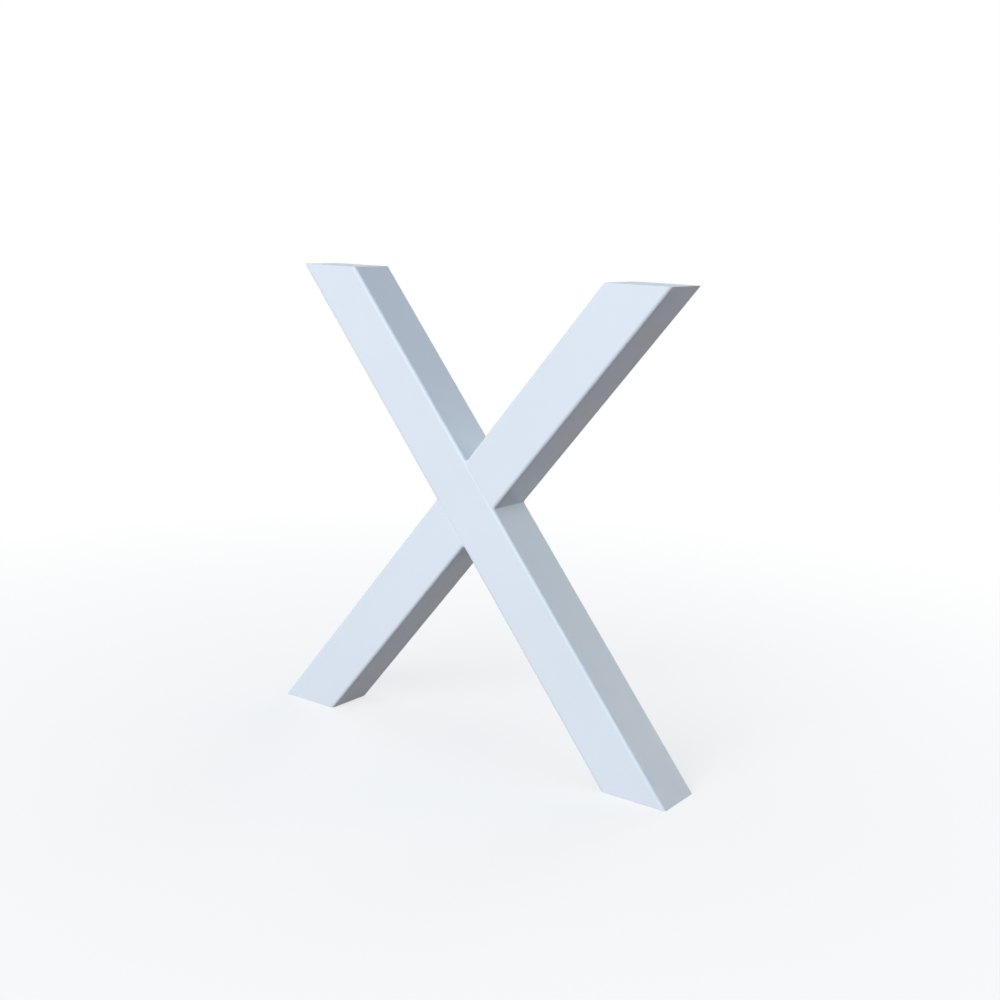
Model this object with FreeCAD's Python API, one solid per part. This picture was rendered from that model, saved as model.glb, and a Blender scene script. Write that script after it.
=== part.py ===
import FreeCAD, Part
import math
import os

from FreeCAD import Vector

# X-shaped table leg, welded from square steel tube. One tube runs right through from the left head to
# the right foot. The other is two half tubes, cut to seat flat on its sides and welded there. All four
# ends are cut level and closed by a plate let into the mouth of the tube.
# Millimetres. The floor is Z = 0, the X stands in the XZ plane, and its front faces look along -Y.

# Overall form
leg_height = 700.0        # floor to the table top
head_width = 640.0        # over the outer edges of both heads
foot_width = 710.0        # over the outer edges of both feet

# Cold-formed square tube
tube_width = 80.0         # across the run of the tube, in the plane of the X
tube_depth = 80.0         # from front to back
tube_wall = 2.5
bore_corner = 2.5         # inside radius of the tube's long edges

# Welds round the half tubes' ends, dressed almost flush at the front and back
fillet_leg = 3.0          # along each face, in the inner corners of the X
seam_depth = 2.5          # reach of the weld metal into the groove beside the long tube's round edge
seam_sink = 0.2           # the dressed seam lies this far below the tube faces

# Plates let into the mouths of the tubes
plate_thickness = 5.0
plate_clearance = 0.15    # between the plate's edge and the wall of the bore

# Holes in the plates
bolt_core = 6.8           # core of an M8 thread
bolt_spacing_x = 50.0
bolt_spacing_y = 40.0
vent_diameter = 10.0      # lets air and water out of the closed tube when it is coated

# The lean of both tubes from upright solves
# mean_width * cos(lean) - leg_height * sin(lean) = tube_width.
mean_width = (head_width + foot_width) / 2
lean = math.acos(tube_width / math.hypot(mean_width, leg_height)) - math.atan2(leg_height, mean_width)

tube_corner = bore_corner + tube_wall
bore_width = tube_width - 2 * tube_wall
bore_depth = tube_depth - 2 * tube_wall

# Where the tubes' centre lines meet the floor, the table top and each other
mouth_width = tube_width / math.cos(lean)
head_x = (head_width - mouth_width) / 2
foot_x = (foot_width - mouth_width) / 2
crossing = Vector(0, 0, leg_height * foot_x / (head_x + foot_x))

# A level cut stretches the bore's round corners, and the plates' corners clear the stretched ones
plate_corner = bore_corner / math.cos(lean)

# Unit vectors in the plane of the X
long_run = Vector(math.sin(lean), 0, -math.cos(lean))    # down the long tube
long_side = Vector(math.cos(lean), 0, math.sin(lean))    # out of the long tube's upper right side
half_run = Vector(math.sin(lean), 0, math.cos(lean))     # up the half tubes
half_side = Vector(math.cos(lean), 0, -math.sin(lean))   # out of the half tubes' lower right side
depth_axis = Vector(0, 1, 0)

reach = leg_height + head_width + foot_width             # longer than any piece, for cutting tools


def rounded_rectangle(centre, across, up, width, height, radius):
    """A face of width along across and height along up, with a quarter arc at each corner."""
    arcs = []
    for quarter, (sign_across, sign_up) in enumerate(((1, 1), (-1, 1), (-1, -1), (1, -1))):
        middle = centre + across * (sign_across * (width / 2 - radius))
        middle = middle + up * (sign_up * (height / 2 - radius))
        turns = [(quarter + step / 2) * math.pi / 2 for step in range(3)]
        points = [middle + across * (radius * math.cos(t)) + up * (radius * math.sin(t)) for t in turns]
        arcs.append(points)
    edges = []
    for points, following in zip(arcs, arcs[1:] + arcs[:1]):
        edges.append(Part.Arc(*points).toShape())
        edges.append(Part.makeLine(points[-1], following[0]))
    return Part.Face(Part.Wire(edges))


def bar(run, side, width, depth, radius):
    """A rounded bar through the crossing along run, cut level at the floor and the table top."""
    start = crossing - run * reach
    section = rounded_rectangle(start, side, depth_axis, width, depth, radius)
    levels = Part.makeBox(2 * reach, 2 * reach, leg_height, Vector(-reach, -reach, 0))
    return section.extrude(run * (2 * reach)).common(levels)


def prism(points, low_y, high_y):
    """A polygon in the plane of the X, carried from low_y to high_y."""
    outline = [Vector(p.x, low_y, p.z) for p in points]
    face = Part.Face(Part.makePolygon(outline + outline[:1]))
    return face.extrude(depth_axis * (high_y - low_y))


def beyond_long_tube(hand):
    """The space past the long tube's side: above it for hand 1, below it for hand -1."""
    return Part.makeCylinder(reach, reach, crossing + long_side * (hand * tube_width / 2), long_side * hand)


def fillet_curve(corner, along_long, along_half):
    """The hollow face of a corner weld: an arc that leaves both tube faces at fillet_leg from the corner."""
    bisector = (along_long + along_half).normalize()
    half_angle = math.acos(bisector.dot(along_long))
    radius = fillet_leg * math.tan(half_angle)
    deepest = corner + bisector * (fillet_leg / math.cos(half_angle) - radius)
    return Part.Arc(corner + along_long * fillet_leg, deepest, corner + along_half * fillet_leg)


def joint_weld(hand, half_blank):
    """The weld all round one half tube's end.

    The long tube's round edges leave a groove beside the half tube's cut end, at the front and at the
    back. Weld metal fills both grooves and the two inner corners, as one ring.
    """
    half_way = half_run * hand
    seat = crossing + long_side * (hand * tube_width / 2)
    sharp = seat - long_run * (hand * tube_width / 2 / math.tan(lean))
    blunt = seat + long_run * (hand * tube_width / 2 * math.tan(lean))
    sharp_arc = fillet_curve(sharp, long_run * -hand, half_way)
    blunt_arc = fillet_curve(blunt, long_run * hand, half_way)
    to_groove = long_side * (-hand * tube_corner)
    outline = [
        sharp_arc.toShape(),
        Part.makeLine(sharp_arc.EndPoint, blunt_arc.EndPoint),
        blunt_arc.toShape(),
        Part.makeLine(blunt_arc.StartPoint, blunt + to_groove),
        Part.makeLine(blunt + to_groove, sharp + to_groove),
        Part.makeLine(sharp + to_groove, sharp_arc.StartPoint),
    ]
    face = Part.Face(Part.Wire(Part.__sortEdges__(outline)))
    front = tube_depth / 2 - seam_sink
    ring = face.translated(depth_axis * -front).extrude(depth_axis * (2 * front))
    root_y = tube_depth / 2 - seam_depth
    root = [sharp_arc.StartPoint, blunt_arc.StartPoint]
    root = root + [blunt_arc.StartPoint + to_groove, sharp_arc.StartPoint + to_groove]
    return ring.cut([long_blank, half_blank, prism(root, -root_y, root_y)])


def mouth_plate(end_x, low_z):
    """A flat plate with square edges, as long as the slanting bore lets through over its thickness."""
    slant = plate_thickness * math.tan(lean)
    length = (bore_width - 2 * plate_clearance) / math.cos(lean) - slant
    centre_x = math.copysign(abs(end_x) - slant / 2, end_x)
    centre = Vector(centre_x, 0, low_z)
    width = bore_depth - 2 * plate_clearance
    outline = rounded_rectangle(centre, Vector(1, 0, 0), depth_axis, length, width, plate_corner)
    return outline.extrude(Vector(0, 0, plate_thickness)), centre, length


def mouth_weld(bore, centre, length):
    """The weld in the wedge between a plate's outer edge and the slanting wall, dressed level."""
    edge_x = abs(centre.x) + length / 2
    low_x = edge_x if centre.x > 0 else -edge_x - mouth_width
    wedge = Part.makeBox(mouth_width, tube_depth, plate_thickness, Vector(low_x, -tube_depth / 2, centre.z))
    return bore.common(wedge)


def drilled(plate, centre, places, diameter):
    """A plate with round holes through it, at places counted from its centre."""
    drills = []
    for x, y in places:
        drills.append(Part.makeCylinder(diameter / 2, plate_thickness, centre + Vector(x, y, 0)))
    return plate.cut(drills)


# Tubes
long_blank = bar(long_run, long_side, tube_width, tube_depth, tube_corner)
half_blanks = bar(half_run, half_side, tube_width, tube_depth, tube_corner)
long_bore = bar(long_run, long_side, bore_width, bore_depth, bore_corner)
half_bore = bar(half_run, half_side, bore_width, bore_depth, bore_corner)
upper_blank = half_blanks.common(beyond_long_tube(1))
lower_blank = half_blanks.common(beyond_long_tube(-1))

pieces = {
    "long_tube": long_blank.cut(long_bore),
    "upper_half_tube": upper_blank.cut(half_bore),
    "lower_half_tube": lower_blank.cut(half_bore),
    "upper_joint_weld": joint_weld(1, upper_blank),
    "lower_joint_weld": joint_weld(-1, lower_blank),
}

# Plates and their welds: the head plates are tapped for the table's bolts, the foot plates are vented
bolt_places = [(x * bolt_spacing_x / 2, y * bolt_spacing_y / 2) for x in (-1, 1) for y in (-1, 1)]
head_holes = (bolt_places, bolt_core)
foot_holes = ([(0, 0)], vent_diameter)
head_z = leg_height - plate_thickness
mouths = [
    ("left_head", -head_x, head_z, long_bore, head_holes),
    ("right_head", head_x, head_z, half_bore, head_holes),
    ("left_foot", -foot_x, 0, half_bore, foot_holes),
    ("right_foot", foot_x, 0, long_bore, foot_holes),
]
for name, end_x, low_z, bore, (places, diameter) in mouths:
    plate, centre, length = mouth_plate(end_x, low_z)
    pieces[name + "_plate"] = drilled(plate, centre, places, diameter)
    pieces[name + "_weld"] = mouth_weld(bore, centre, length)

os.makedirs("parts", exist_ok=True)
for name, shape in pieces.items():
    shape.exportStep("parts/" + name + ".step")
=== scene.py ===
import math

import bpy
import numpy as np
from mathutils import Matrix, Vector


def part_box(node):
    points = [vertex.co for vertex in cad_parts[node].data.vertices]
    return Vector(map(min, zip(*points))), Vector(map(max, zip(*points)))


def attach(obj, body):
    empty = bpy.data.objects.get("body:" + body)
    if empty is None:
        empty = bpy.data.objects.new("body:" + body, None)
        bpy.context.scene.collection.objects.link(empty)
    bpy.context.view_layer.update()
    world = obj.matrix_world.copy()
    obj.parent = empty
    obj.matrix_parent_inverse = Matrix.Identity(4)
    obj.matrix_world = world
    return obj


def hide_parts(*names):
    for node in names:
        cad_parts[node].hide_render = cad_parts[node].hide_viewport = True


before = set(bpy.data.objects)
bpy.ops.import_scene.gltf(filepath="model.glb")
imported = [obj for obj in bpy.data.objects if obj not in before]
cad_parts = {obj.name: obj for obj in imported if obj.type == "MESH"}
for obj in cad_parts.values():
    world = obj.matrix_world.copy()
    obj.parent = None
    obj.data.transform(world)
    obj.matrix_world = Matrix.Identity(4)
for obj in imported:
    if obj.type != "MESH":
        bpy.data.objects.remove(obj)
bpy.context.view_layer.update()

# The looks of an X-shaped table leg: white powder coat over welded square steel tube.
# Metres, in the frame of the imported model: the feet stand on z = 0, the X lies in the xz plane and its
# front faces look along -y. Every shape is a grid of points worked out from the model's own boxes.

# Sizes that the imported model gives
LONG_LOW, LONG_HIGH = (np.array(corner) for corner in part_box("long_tube"))
LEG_HEIGHT = LONG_HIGH[2]
HEAD_WIDTH = -2 * LONG_LOW[0]
FOOT_WIDTH = 2 * LONG_HIGH[0]
TUBE = LONG_HIGH[1] - LONG_LOW[1]      # the tube is square

# Sizes of the tube stock and of the welds
WALL = 0.0025
EDGE_RADIUS = 0.005                    # outside radius of the tube's long edges
CUT_RADIUS = 0.0005                    # the saw cuts at heads and feet are broken to this radius
SEAT_RADIUS = 0.00025                  # the same at the cut that seats on the long tube
HOLD_BACK = 3.0                        # a ring of points lies this many radii back from a cut
HOLD_IN = 1.6                          # and one lies this many radii in from the outer wall
BORE_BREAK = 0.0002                    # the cuts' inner edges are broken this far
BORE_LIP = 0.002                       # the bore's first ring of points lies this far in from a cut
FILLET_LEG = 0.003                     # of the weld in the inner corners of the X
SEAM_SINK = 0.0002                     # the dressed seam lies this far below the tube faces
SEAM_SINK_END = 0.0005                 # and this far at its two ends
SEAM_HOLLOW = 0.00012                  # how much the middle of the seam is ground below its edges
SEAM_ROOT = 0.0022                     # how far the weld reaches in under the half tube's end
MOUTH_SINK = 0.00025                   # the toes of the plates' welds lie this far below the tube's end
BEAD_RISE = 0.8                        # the share of that sink by which the bead's middle stands up
RIPPLE = 0.0028                        # spacing of the ripples left in the plates' welds
RIPPLE_HEIGHT = 0.00004
BEAD_LEAST = 0.00002                   # the plates' welds run out to this width at their ends

# Sizes of the plates and of their holes
PLATE_BREAK = 0.0004                   # edge radius of the plates
BOLT_X, BOLT_Y = 0.025, 0.020          # bolt places from a plate's centre
THREAD_CORE = 0.0034                   # M8 coarse thread
THREAD_PITCH = 0.00125
THREAD_DEPTH = 0.0006
SINK_RADIUS = 0.0045                   # countersink at both ends of a thread
VENT_RADIUS = 0.005

# The lean of both tubes from upright, as in the model
MEAN_WIDTH = (HEAD_WIDTH + FOOT_WIDTH) / 2
LEAN = math.acos(TUBE / math.hypot(MEAN_WIDTH, LEG_HEIGHT)) - math.atan2(LEG_HEIGHT, MEAN_WIDTH)
MOUTH = TUBE / math.cos(LEAN)
HEAD_X = (HEAD_WIDTH - MOUTH) / 2
FOOT_X = (FOOT_WIDTH - MOUTH) / 2
CROSSING = np.array([0, 0, LEG_HEIGHT * FOOT_X / (HEAD_X + FOOT_X)])

# Unit vectors in the plane of the X
LONG_RUN = np.array([math.sin(LEAN), 0, -math.cos(LEAN)])
LONG_SIDE = np.array([math.cos(LEAN), 0, math.sin(LEAN)])
HALF_RUN = np.array([math.sin(LEAN), 0, math.cos(LEAN)])
HALF_SIDE = np.array([math.cos(LEAN), 0, -math.sin(LEAN)])
DEPTH = np.array([0.0, 1.0, 0.0])
UP = np.array([0.0, 0.0, 1.0])

# How finely the shapes are divided
CORNER_STEPS = 12                      # facets round a tube's edge
CUT_STEPS = 5                          # facets over the broken edge of a saw cut
BREAK_STEPS = 4                        # facets over the broken edge of a plate
FLAT_STEPS = 24                        # facets along a flat side of a weld or a plate
TUBE_STEPS = 7                         # facets along a tube between its ends
WELD_FACE_STEPS = 10                   # facets over the open face of a joint weld
WELD_BED_STEPS = 6                     # facets over its bed on the long tube
SPOKE_STEPS = 12                       # facets along the lines that part a plate into quarters
THREAD_ROWS = 53                       # rows of points down a threaded hole
VENT_ROWS = 27                         # rows of points down a vent hole
BEAD_ROWS = 191                        # rows of points along a plate's weld
BEAD_COLUMNS = 9                       # points in each of those rows
FLOOR_SIDES = 96
TUBE_SIDE = (0.012, 0.3, 0.7, 0.988)   # shares of a tube's flat side at which points lie
PLATE_FACE = (0, 0.03, 0.3, 0.7, 0.97, 1)    # the same on a plate, from a hole's edge to the outline
SAME_PLACE = 1e-7                      # points this near to each other are one
SHARP = math.radians(35)               # edges that turn more than this stay sharp

# Finish of the coat
COAT_TONES = ((0.715, 0.775, 0.835), (0.735, 0.795, 0.855))
COAT_ROUGHNESS = (0.36, 0.44)
COAT_IOR = 1.5
TUBE_PEEL = 0.00003                    # height of the orange-peel skin on tubes and plates
WELD_PEEL = 0.00008                    # and on welds
TONE_SCALE = 7                         # scale of the noise that the tone drifts with, per metre
ROUGHNESS_SCALE = 60                   # of the roughness
PEEL_SCALE = 420                       # and of the orange-peel skin
NOISE_LOW, NOISE_HIGH = 0.3, 0.7       # the noise between these carries the whole drift

# Studio
FLOOR_RADIUS = 30.0
FLOOR_LEVEL = -0.0002                  # just under the feet, so that no two faces lie in one plane
FLOOR_TONE = (0.95, 0.95, 0.95)        # of the share of the floor that takes the feet's shadow
FLOOR_SHADE = 0.35                     # that share in the middle of the floor
SHADE_SCALE = 0.6                      # it fades to none at 1 / 0.6 m from the middle
FLOOR_BOUNCE = (0.15, 0.115, 0.12)     # colour of the light that the floor throws back
SKY_TONE = (0.17, 0.248, 0.335)
WHITE = (1, 1, 1)
WARM = (1, 0.85, 0.62)


def put_mesh(name, points, faces):
    """A mesh object from an array of points and an array of faces, smooth but for its sharp edges."""
    mesh = bpy.data.meshes.new(name)
    mesh.from_pydata(points.tolist(), [], faces.tolist())
    mesh.polygons.foreach_set("use_smooth", np.ones(len(faces), bool))
    mesh.set_sharp_from_angle(angle=SHARP)
    mesh.update()
    piece = bpy.data.objects.new(name, mesh)
    bpy.context.scene.collection.objects.link(piece)
    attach(piece, "root")
    return piece


def lap_faces(rows, columns):
    """Quads over a grid that is closed both ways."""
    index = np.arange(rows * columns).reshape(rows, columns)
    along = np.roll(index, -1, axis=0)
    corners = [index, np.roll(index, -1, axis=1), np.roll(along, -1, axis=1), along]
    return np.stack(corners, axis=-1).reshape(-1, 4)


def outward(points, faces):
    """The faces, turned round if the volume that they close comes out negative."""
    a, b, c, d = (points[faces[:, k]] for k in range(4))
    volume = np.einsum("ij,ij->", a, np.cross(b, c) + np.cross(c, d))
    return faces if volume > 0 else faces[:, ::-1]


def rounded_loop(width, height, radius, side_shares):
    """Points and outward normals round a rectangle with quarter-circle corners.

    Corner q is an arc about the rectangle's inner corner, from angle 90 q to 90 (q + 1) degrees. Each arc
    is followed by points at side_shares of the straight side that leads to the next arc.
    """
    turn = np.linspace(0, np.pi / 2, CORNER_STEPS + 1) + np.arange(4)[:, None] * np.pi / 2
    normals = np.stack([np.cos(turn), np.sin(turn)], axis=-1)
    inner = np.array([[1, 1], [-1, 1], [-1, -1], [1, -1]]) * [width / 2 - radius, height / 2 - radius]
    arcs = inner[:, None, :] + radius * normals
    share = np.asarray(side_shares)[:, None]
    sides = arcs[:, -1:, :] * (1 - share) + np.roll(arcs, -1, axis=0)[:, :1, :] * share
    side_normals = np.repeat(normals[:, -1:, :], len(side_shares), axis=1)
    loop = np.concatenate([arcs, sides], axis=1).reshape(-1, 2)
    return loop, np.concatenate([normals, side_normals], axis=1).reshape(-1, 2)


def tube_shell(run, side, start_cut, end_cut):
    """A square tube along run as one grid: round its section, and over its length outside and back inside.

    A cut is (plane normal, plane offset, edge radius), with offsets from the crossing. A point of the
    section, moved in from the outer wall by an inset, reaches the cut where its place along run solves
    normal . place = offset. The broken edge is a quarter turn: the inset grows as radius * (1 - cos) while
    the distance back from the cut shrinks as radius * (1 - sin).
    """
    loop, normals = rounded_loop(TUBE, TUBE, EDGE_RADIUS, TUBE_SIDE)

    def ring(inset):
        flat = loop - normals * inset
        return flat[:, :1] * side + flat[:, 1:] * DEPTH

    def end_rings(cut, back):
        normal, offset, radius = cut
        turn = np.linspace(0, np.pi / 2, CUT_STEPS + 1)
        over_wall = [HOLD_IN * radius, WALL - BORE_BREAK, WALL, WALL]
        into_bore = [0, 0, BORE_BREAK, BORE_LIP]
        insets = np.concatenate([[0.0], radius * (1 - np.cos(turn)), over_wall])
        backs = np.concatenate([[HOLD_BACK * radius], radius * (1 - np.sin(turn)), into_bore])
        rings = np.stack([ring(inset) for inset in insets])
        place = (offset - rings @ normal) / (run @ normal) + back * backs[:, None]
        return rings + place[..., None] * run

    start = end_rings(start_cut, 1)
    end = end_rings(end_cut, -1)
    share = np.linspace(0, 1, TUBE_STEPS + 1)[1:-1, None, None]
    outside = start[0] * (1 - share) + end[0] * share
    inside = end[-1] * (1 - share) + start[-1] * share
    grid = np.concatenate([start[::-1], outside, end, inside])
    points = grid.reshape(-1, 3) + CROSSING
    return points, outward(points, lap_faces(*grid.shape[:2]))


def joint_weld(hand):
    """The weld round a half tube's end as one grid: round the joint, and round the weld's own section.

    Places are s along the long tube, y through the depth and out from the long tube's centre line. One
    toe runs on the half tube: the fillet's leg up its wall at the sides, and at the seam's depth on its cut
    end at the front and back. The other toe runs on the long tube's surface, laid out flat as (s, girth),
    where girth goes on round the long tube's edge. Between the toes the face is a quadratic curve. Its
    middle point is the inner corner at the sides, for a hollow fillet, and just below the toes at the front
    and back. The seam's sink grows from its middle to its ends with the fourth power of the distance. The
    section closes under the half tube's end and along the long tube's surface.
    """
    shares = np.linspace(0, 1, FLAT_STEPS + 1)[1:-1]
    loop, normals = rounded_loop(TUBE, TUBE, EDGE_RADIUS, shares)
    half_dir = np.array([-math.cos(2 * LEAN), math.sin(2 * LEAN)])
    half_out = np.array([math.sin(2 * LEAN), math.cos(2 * LEAN)])
    seat = TUBE / 2
    half_length = seat / math.sin(2 * LEAN)
    middle_s = -seat / math.tan(2 * LEAN)
    frontness = normals[:, 1] ** 2
    depth_sign = np.sign(loop[:, 1])

    def sink_at(s):
        off_middle = np.clip(np.abs(s - middle_s) / half_length, 0, 1)
        return SEAM_SINK + (SEAM_SINK_END - SEAM_SINK) * off_middle ** 4

    def on_half(inset, climb):
        flat = loop - normals * inset[:, None]
        up = (seat - flat[:, 0] * half_out[1]) / half_dir[1] + climb
        plane = flat[:, :1] * half_out + up[:, None] * half_dir
        return np.column_stack([plane[:, 0], flat[:, 1], plane[:, 1]])

    def on_long(s, girth):
        flat = TUBE / 2 - EDGE_RADIUS
        angle = np.clip(np.abs(girth) - flat, 0, None) / EDGE_RADIUS
        y = np.sign(girth) * (np.minimum(np.abs(girth), flat) + EDGE_RADIUS * np.sin(angle))
        return np.column_stack([s, y, seat - EDGE_RADIUS * (1 - np.cos(angle))])

    def girth_of(y):
        flat = TUBE / 2 - EDGE_RADIUS
        past = np.clip((np.abs(y) - flat) / EDGE_RADIUS, 0, 1)
        return np.sign(y) * (np.minimum(np.abs(y), flat) + EDGE_RADIUS * np.arcsin(past))

    foot = on_half(np.zeros(len(loop)), np.zeros(len(loop)))
    half_toe = on_half(sink_at(foot[:, 0]) * frontness, FILLET_LEG * (1 - frontness))

    toe_loop, _ = rounded_loop(2 * (half_length + FILLET_LEG), TUBE, EDGE_RADIUS, shares)
    toe_s = toe_loop[:, 0] + middle_s
    deepest = girth_of(TUBE / 2 - sink_at(toe_s))
    toe_girth = toe_loop[:, 1] / (TUBE / 2) * deepest
    long_toe = on_long(toe_s, toe_girth)

    hollow = (long_toe + half_toe) / 2
    hollow[:, 1] -= depth_sign * 2 * SEAM_HOLLOW
    bend = foot * (1 - frontness[:, None]) + hollow * frontness[:, None]

    t = np.linspace(0, 1, WELD_FACE_STEPS + 1)[:, None, None]
    face = (1 - t) ** 2 * long_toe + 2 * t * (1 - t) * bend + t ** 2 * half_toe
    root = on_half(np.full(len(loop), SEAM_ROOT), np.zeros(len(loop)))
    bed_share = np.linspace(0, 1, WELD_BED_STEPS + 1)[1:-1, None]
    bed_s = root[:, 0] * (1 - bed_share) + toe_s * bed_share
    bed_girth = girth_of(root[:, 1]) * (1 - bed_share) + toe_girth * bed_share
    bed = np.stack([on_long(s, girth) for s, girth in zip(bed_s, bed_girth)])
    grid = np.concatenate([face, root[None], bed])

    plane = hand * (grid[..., :1] * LONG_RUN + grid[..., 2:] * LONG_SIDE)
    points = (CROSSING + plane + grid[..., 1:2] * DEPTH).reshape(-1, 3)
    return points, outward(points, lap_faces(*grid.shape[:2]))


def joined(grids):
    """Points and faces of several open grids, with points that lie in the same place made one."""
    starts = np.cumsum([0] + [grid.shape[0] * grid.shape[1] for grid in grids])
    index = [s + np.arange(g.shape[0] * g.shape[1]).reshape(g.shape[:2]) for s, g in zip(starts, grids)]
    corners = [(i[:-1, :-1], i[:-1, 1:], i[1:, 1:], i[1:, :-1]) for i in index]
    quads = [np.stack(four, axis=-1).reshape(-1, 4) for four in corners]
    points = np.concatenate([grid.reshape(-1, 3) for grid in grids])
    places = np.round(points / SAME_PLACE)
    _, first, same = np.unique(places, axis=0, return_index=True, return_inverse=True)
    points = points[first]
    return points, outward(points, same.reshape(-1)[np.concatenate(quads)])


def thread_wall(angle, depth, thickness):
    """Radius of a threaded hole at an angle and a depth below the plate's top face.

    Along the wall the phase is -depth / pitch - angle / full turn, so the groove climbs as a right-hand
    helix. The groove is a V of 60 degrees with a flat root of an eighth of the pitch. At both faces a
    45-degree countersink cuts the thread away.
    """
    phase = np.mod(-depth / THREAD_PITCH - angle / (2 * np.pi), 1)
    off_groove = np.abs(phase - 0.5) * THREAD_PITCH
    half_mouth = THREAD_DEPTH * math.tan(np.pi / 6) + THREAD_PITCH / 16
    groove = np.clip((half_mouth - off_groove) / math.tan(np.pi / 6), 0, THREAD_DEPTH)
    to_face = np.minimum(depth, thickness - depth)
    return np.maximum(THREAD_CORE + groove, SINK_RADIUS - to_face)


def vent_wall(angle, depth, thickness):
    """Radius of a plain hole with broken edges, at an angle and a depth below the plate's top face."""
    to_face = np.minimum(depth, thickness - depth)
    return np.maximum(VENT_RADIUS, VENT_RADIUS + PLATE_BREAK - to_face) + 0 * angle


def drilled_plate(node, hole_places, wall, depth_rows):
    """A flat plate with rounded corners, broken edges and round holes, in the box of a node.

    With one hole the cell round it is the whole plate, and with four it is a quarter, mirrored to the
    other three. A cell is one grid: its columns are rays from the hole's centre to the cell's outline, and
    its rows go in along the bottom face, up the hole's wall and out along the top face. A second grid
    follows the plate's own outline down its edge, as two quarter turns with a straight wall between them.
    """
    low, high = (np.array(corner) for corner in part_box(node))
    length, width, thickness = high - low
    corner = (EDGE_RADIUS - WALL) / math.cos(LEAN)
    inset = PLATE_BREAK
    shares = np.linspace(0, 1, FLAT_STEPS + 1)[1:-1]
    loop, normals = rounded_loop(length - 2 * inset, width - 2 * inset, corner - inset, shares)
    quarters = [(1, 1)]
    if len(hole_places) == 4:
        # From the middle of one side, round a corner, to the middle of the next side
        half_side = len(shares) // 2 + 1
        quarter = np.arange(-half_side, CORNER_STEPS + 1 + half_side)
        loop, normals = loop[quarter], normals[quarter]
        spoke = np.linspace(1, 0, SPOKE_STEPS + 1)[1:, None]
        outline = np.concatenate([loop, spoke * loop[-1], (1 - spoke[:-1]) * loop[0], loop[:1]])
        quarters = [(1, 1), (-1, 1), (-1, -1), (1, -1)]
    else:
        loop, normals = (np.concatenate([a, a[:1]]) for a in (loop, normals))
        outline = loop

    turn = np.linspace(0, np.pi / 2, BREAK_STEPS + 1)
    edge_out = np.concatenate([inset * np.sin(turn), inset * np.cos(turn)])
    edge_depth = np.concatenate([inset * (1 - np.cos(turn)), thickness - inset * (1 - np.sin(turn))])
    depth = np.linspace(thickness, 0, depth_rows)[:, None]
    face_share = np.array(PLATE_FACE)[:, None, None]
    grids = []
    for sign in np.array(quarters):
        order = slice(None) if sign.prod() > 0 else slice(None, None, -1)
        hole = np.abs(hole_places[0]) * sign
        rays = (outline * sign)[order]
        angle = np.arctan2(*(rays - hole).T[::-1])
        way = np.stack([np.cos(angle), np.sin(angle)], axis=-1)
        radius = wall(angle, depth, thickness)
        level = np.repeat(-depth[:, None], len(way), 1)
        bore = np.concatenate([hole + radius[..., None] * way, level], axis=-1)
        top = bore[-1, :, :2] * (1 - face_share) + rays * face_share
        top = np.concatenate([top, np.zeros(top.shape[:2] + (1,))], axis=-1)
        under = bore[0, :, :2] * (1 - face_share) + rays * face_share
        under = np.concatenate([under, np.full(under.shape[:2] + (1,), -thickness)], axis=-1)
        grids.append(np.concatenate([under[::-1], bore[1:-1], top]))
        rim, rim_normals = (loop * sign)[order], (normals * sign)[order]
        edge = rim + edge_out[:, None, None] * rim_normals
        grids.append(np.concatenate([edge, np.repeat(-edge_depth[:, None, None], len(rim), 1)], axis=-1))
    middle = np.array([(low[0] + high[0]) / 2, (low[1] + high[1]) / 2, high[2]])
    points, faces = joined(grids)
    return points + middle, faces


def mouth_weld(node, hand, end):
    """The dressed weld between a plate's outer edge and the tube's slanting wall, in the box of a node.

    Places are across from the plate's edge, depth below the tube's end and y. The wall stands at the
    box's width less depth * tan(lean), and less what the bore's round corners take off near the ends. The
    bead's top is a low arch, 4 u (1 - u) high over its share u of the width, with its toes sunk. Ripples
    cross it as crescents: a cosine of y / spacing + (2 u - 1)^2 / 3.
    """
    low, high = (np.array(corner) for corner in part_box(node))
    width, length, thickness = high - low
    corner = EDGE_RADIUS - WALL
    y = np.linspace(-length / 2, length / 2, BEAD_ROWS)
    over = np.clip(np.abs(y) - (length / 2 - corner), 0, corner)
    taken = (corner - np.sqrt(corner ** 2 - over ** 2)) / math.cos(LEAN)
    u = np.linspace(0, 1, BEAD_COLUMNS)
    arch = 4 * u * (1 - u)
    ripple = RIPPLE_HEIGHT * np.cos(2 * np.pi * (y[:, None] / RIPPLE + (2 * u - 1) ** 2 / 3))
    top_depth = MOUTH_SINK * (1 - BEAD_RISE * arch) + arch * (RIPPLE_HEIGHT - ripple) / 2
    low_depth = np.full_like(top_depth, thickness)

    def sheet(depth):
        wall = np.clip(width - depth * math.tan(LEAN) - taken[:, None], BEAD_LEAST, None)
        edge = low[0] if hand > 0 else high[0]
        level = high[2] if end > 0 else low[2]
        along = np.repeat(y[:, None], len(u), 1)
        return np.stack([edge + hand * u * wall, along, level - end * depth], axis=-1)

    top, under = sheet(top_depth), sheet(low_depth)
    round_it = np.concatenate([top, under[:, ::-1], top[:, :1]], axis=1)
    return joined([round_it, np.stack([under[0], top[0]]), np.stack([top[-1], under[-1]])])


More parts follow.
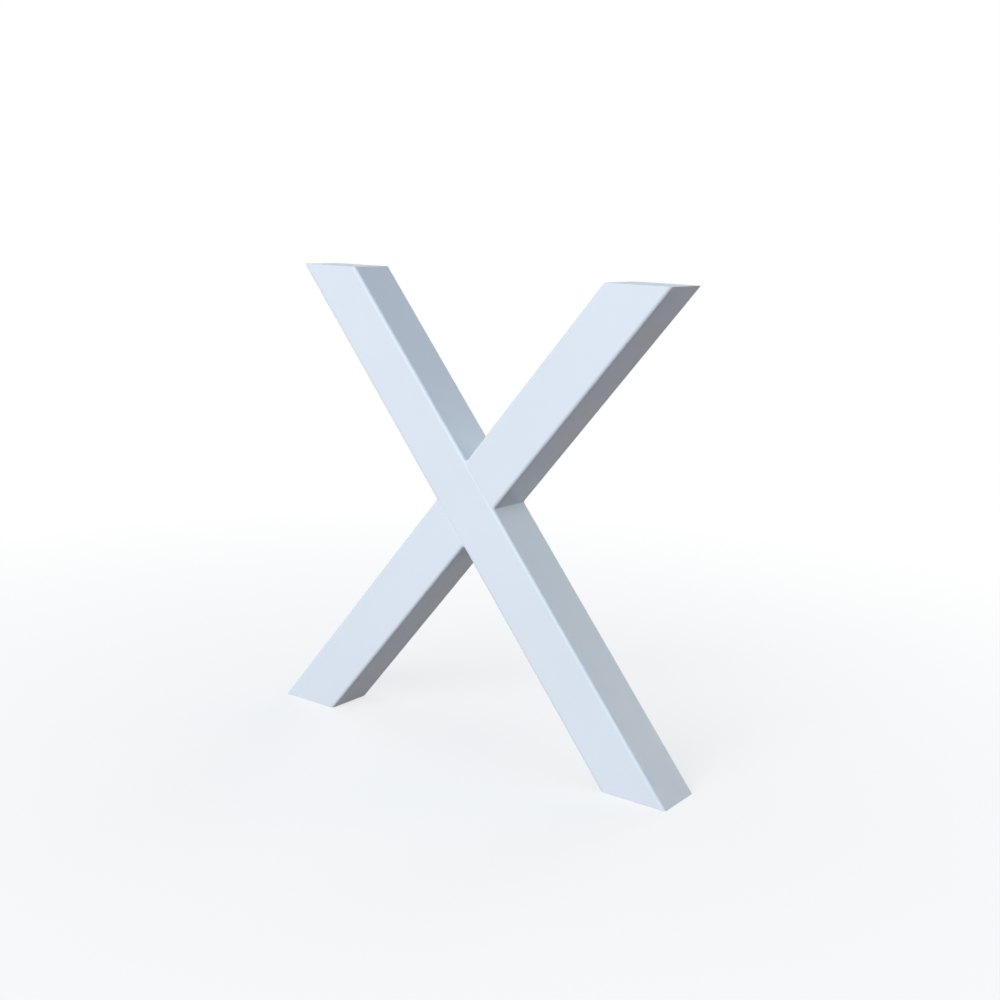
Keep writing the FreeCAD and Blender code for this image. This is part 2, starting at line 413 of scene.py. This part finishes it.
def white_coat(name, peel):
    """Satin powder coat: a cool white with a faint drift of tone. Its orange-peel skin is peel high."""
    material = bpy.data.materials.new(name)
    material.use_nodes = True
    nodes, links = material.node_tree.nodes, material.node_tree.links
    shader = nodes["Principled BSDF"]
    shader.inputs["IOR"].default_value = COAT_IOR
    place = nodes.new("ShaderNodeTexCoord").outputs["Object"]

    def noise(scale, detail):
        texture = nodes.new("ShaderNodeTexNoise")
        texture.inputs["Scale"].default_value = scale
        texture.inputs["Detail"].default_value = detail
        links.new(place, texture.inputs["Vector"])
        return texture.outputs["Fac"]

    def ramp(source, low, high):
        """Colours from low to high over the middle of the noise."""
        mixer = nodes.new("ShaderNodeValToRGB")
        mixer.color_ramp.elements[0].position = NOISE_LOW
        mixer.color_ramp.elements[1].position = NOISE_HIGH
        mixer.color_ramp.elements[0].color = (*low, 1)
        mixer.color_ramp.elements[1].color = (*high, 1)
        links.new(source, mixer.inputs["Fac"])
        return mixer.outputs["Color"]

    tone = ramp(noise(TONE_SCALE, detail=3), *COAT_TONES)
    links.new(tone, shader.inputs["Base Color"])
    greys = [(level,) * 3 for level in COAT_ROUGHNESS]
    roughness = ramp(noise(ROUGHNESS_SCALE, detail=2), *greys)
    links.new(roughness, shader.inputs["Roughness"])
    bump = nodes.new("ShaderNodeBump")
    bump.inputs["Strength"].default_value = 1
    bump.inputs["Distance"].default_value = peel
    links.new(noise(PEEL_SCALE, detail=2), bump.inputs["Height"])
    links.new(bump.outputs["Normal"], shader.inputs["Normal"])
    return material


def coat(piece, material):
    """Gives a piece its one material."""
    piece.data.materials.clear()
    piece.data.materials.append(material)


# Pieces
head_cut = (UP, LEG_HEIGHT - CROSSING[2], CUT_RADIUS)
foot_cut = (UP, -CROSSING[2], CUT_RADIUS)
upper_seat = (LONG_SIDE, TUBE / 2, SEAT_RADIUS)
lower_seat = (LONG_SIDE, -TUBE / 2, SEAT_RADIUS)

tube_coat = white_coat("white_coat", TUBE_PEEL)
weld_coat = white_coat("white_coat_weld", WELD_PEEL)

shapes = {
    "long_tube": (tube_shell(LONG_RUN, LONG_SIDE, head_cut, foot_cut), tube_coat),
    "upper_half_tube": (tube_shell(HALF_RUN, HALF_SIDE, upper_seat, head_cut), tube_coat),
    "lower_half_tube": (tube_shell(HALF_RUN, HALF_SIDE, foot_cut, lower_seat), tube_coat),
    "upper_joint_weld": (joint_weld(1), weld_coat),
    "lower_joint_weld": (joint_weld(-1), weld_coat),
}
bolts = [(x, y) for x in (BOLT_X, -BOLT_X) for y in (BOLT_Y, -BOLT_Y)]
for name, hand in (("left", -1), ("right", 1)):
    head, foot = name + "_head", name + "_foot"
    shapes[head + "_plate"] = (drilled_plate(head + "_plate", bolts, thread_wall, THREAD_ROWS), tube_coat)
    shapes[foot + "_plate"] = (drilled_plate(foot + "_plate", [(0, 0)], vent_wall, VENT_ROWS), tube_coat)
    shapes[head + "_weld"] = (mouth_weld(head + "_weld", hand, 1), weld_coat)
    shapes[foot + "_weld"] = (mouth_weld(foot + "_weld", hand, -1), weld_coat)
for node, ((points, faces), material) in shapes.items():
    piece = put_mesh("coated_" + node, points, faces)
    coat(piece, material)
    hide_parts(node)


# Floor and light
def seen_directly(nodes, links):
    """1 for rays from the camera, mirrors and glass, 0 for light that bounces."""
    path = nodes.new("ShaderNodeLightPath")
    seen = path.outputs["Is Camera Ray"]
    for other in ("Is Glossy Ray", "Is Transmission Ray"):
        either = nodes.new("ShaderNodeMath")
        either.operation = "MAXIMUM"
        links.new(seen, either.inputs[0])
        links.new(path.outputs[other], either.inputs[1])
        seen = either.outputs[0]
    return seen


def studio_floor():
    """A pale round floor. It is white far off, and near the feet part of it takes their shadow."""
    angle = np.linspace(0, 2 * np.pi, FLOOR_SIDES, endpoint=False)
    level = np.full(len(angle), FLOOR_LEVEL)
    points = np.column_stack([FLOOR_RADIUS * np.cos(angle), FLOOR_RADIUS * np.sin(angle), level])
    mesh = bpy.data.meshes.new("floor")
    mesh.from_pydata(points.tolist(), [], [list(range(len(angle)))])
    floor = bpy.data.objects.new("floor", mesh)
    bpy.context.scene.collection.objects.link(floor)

    material = bpy.data.materials.new("pale_floor")
    material.use_nodes = True
    nodes, links = material.node_tree.nodes, material.node_tree.links
    nodes.clear()
    bounce = nodes.new("ShaderNodeBsdfDiffuse")
    bounce.inputs["Color"].default_value = (*FLOOR_BOUNCE, 1)
    pale = nodes.new("ShaderNodeBsdfDiffuse")
    pale.inputs["Color"].default_value = (*FLOOR_TONE, 1)
    white = nodes.new("ShaderNodeEmission")
    white.inputs["Color"].default_value = (*WHITE, 1)

    spot = nodes.new("ShaderNodeTexGradient")
    spot.gradient_type = "SPHERICAL"
    mapping = nodes.new("ShaderNodeMapping")
    mapping.inputs["Scale"].default_value = (SHADE_SCALE,) * 3
    links.new(nodes.new("ShaderNodeTexCoord").outputs["Object"], mapping.inputs["Vector"])
    links.new(mapping.outputs["Vector"], spot.inputs["Vector"])
    shade = nodes.new("ShaderNodeMath")
    shade.operation = "MULTIPLY"
    shade.inputs[1].default_value = FLOOR_SHADE
    links.new(spot.outputs["Fac"], shade.inputs[0])

    surface = nodes.new("ShaderNodeMixShader")
    links.new(shade.outputs[0], surface.inputs["Fac"])
    links.new(white.outputs[0], surface.inputs[1])
    links.new(pale.outputs[0], surface.inputs[2])
    chosen = nodes.new("ShaderNodeMixShader")
    links.new(seen_directly(nodes, links), chosen.inputs["Fac"])
    links.new(bounce.outputs[0], chosen.inputs[1])
    links.new(surface.outputs[0], chosen.inputs[2])
    links.new(chosen.outputs[0], nodes.new("ShaderNodeOutputMaterial").inputs["Surface"])
    material.cycles.emission_sampling = "NONE"
    mesh.materials.append(material)


def studio_sky():
    """An even cool sky for the light, and plain white where it is seen."""
    world = bpy.data.worlds.new("studio")
    world.use_nodes = True
    bpy.context.scene.world = world
    nodes, links = world.node_tree.nodes, world.node_tree.links
    nodes.clear()
    sky = nodes.new("ShaderNodeBackground")
    sky.inputs["Color"].default_value = (*SKY_TONE, 1)
    white = nodes.new("ShaderNodeBackground")
    white.inputs["Color"].default_value = (*WHITE, 1)
    chosen = nodes.new("ShaderNodeMixShader")
    links.new(seen_directly(nodes, links), chosen.inputs["Fac"])
    links.new(sky.outputs[0], chosen.inputs[1])
    links.new(white.outputs[0], chosen.inputs[2])
    links.new(chosen.outputs[0], nodes.new("ShaderNodeOutputWorld").inputs["Surface"])


def soft_box(name, place, width, height, watts, tint, sheen):
    """A rectangular soft light at place, looking at the crossing.

    It is two lamps in one place. One lights the coat, and one at sheen of its strength is all that the coat
    mirrors, so that no face clips to white when it is seen against the light.
    """
    for part, share in (("light", 1), ("sheen", sheen)):
        light = bpy.data.lights.new(name + "_" + part, "AREA")
        light.shape = "RECTANGLE"
        light.size = width
        light.size_y = height
        light.energy = watts * share
        light.color = tint
        lamp = bpy.data.objects.new(light.name, light)
        lamp.visible_diffuse = part == "light"
        lamp.visible_glossy = part == "sheen"
        lamp.location = place
        lamp.rotation_euler = (Vector(CROSSING) - Vector(place)).to_track_quat("-Z", "Y").to_euler()
        bpy.context.scene.collection.objects.link(lamp)


def photo_camera():
    """A camera that looks at a point near the crossing from the right, a little above the heads."""
    azimuth, elevation, roll = (math.radians(a) for a in (35.500, 11.657, 1.942))
    distance = 1.9795
    aim = Vector((0.0350, 0, 0.3772))
    focal_px, image_px, sensor = 1363.5, 1000, 36.0
    back = Vector((math.sin(azimuth) * math.cos(elevation), -math.cos(azimuth) * math.cos(elevation),
                   math.sin(elevation)))
    right = (-back).cross(Vector((0, 0, 1))).normalized()
    up = right.cross(-back)
    level_right = math.cos(roll) * right + math.sin(roll) * up
    level_up = -math.sin(roll) * right + math.cos(roll) * up
    data = bpy.data.cameras.new("camera")
    data.sensor_width = sensor
    data.lens = focal_px / image_px * sensor
    camera = bpy.data.objects.new("camera", data)
    turn = Matrix((level_right, level_up, back)).transposed().to_4x4()
    camera.matrix_world = Matrix.Translation(aim + back * distance) @ turn
    bpy.context.scene.collection.objects.link(camera)
    bpy.context.scene.camera = camera


studio_floor()
studio_sky()
soft_box("key", (0, -9.0, 3.5), width=8.9, height=3.2, watts=890, tint=WHITE, sheen=0.45)
soft_box("back_light", (-0.3, 4.2, 1.1), width=2.0, height=2.0, watts=80, tint=WHITE, sheen=0.45)
soft_box("side_fill", (1.9, 2.9, 1.25), width=1.6, height=1.6, watts=20, tint=WARM, sheen=1)
photo_camera()
bpy.context.scene.view_settings.view_transform = "Standard"
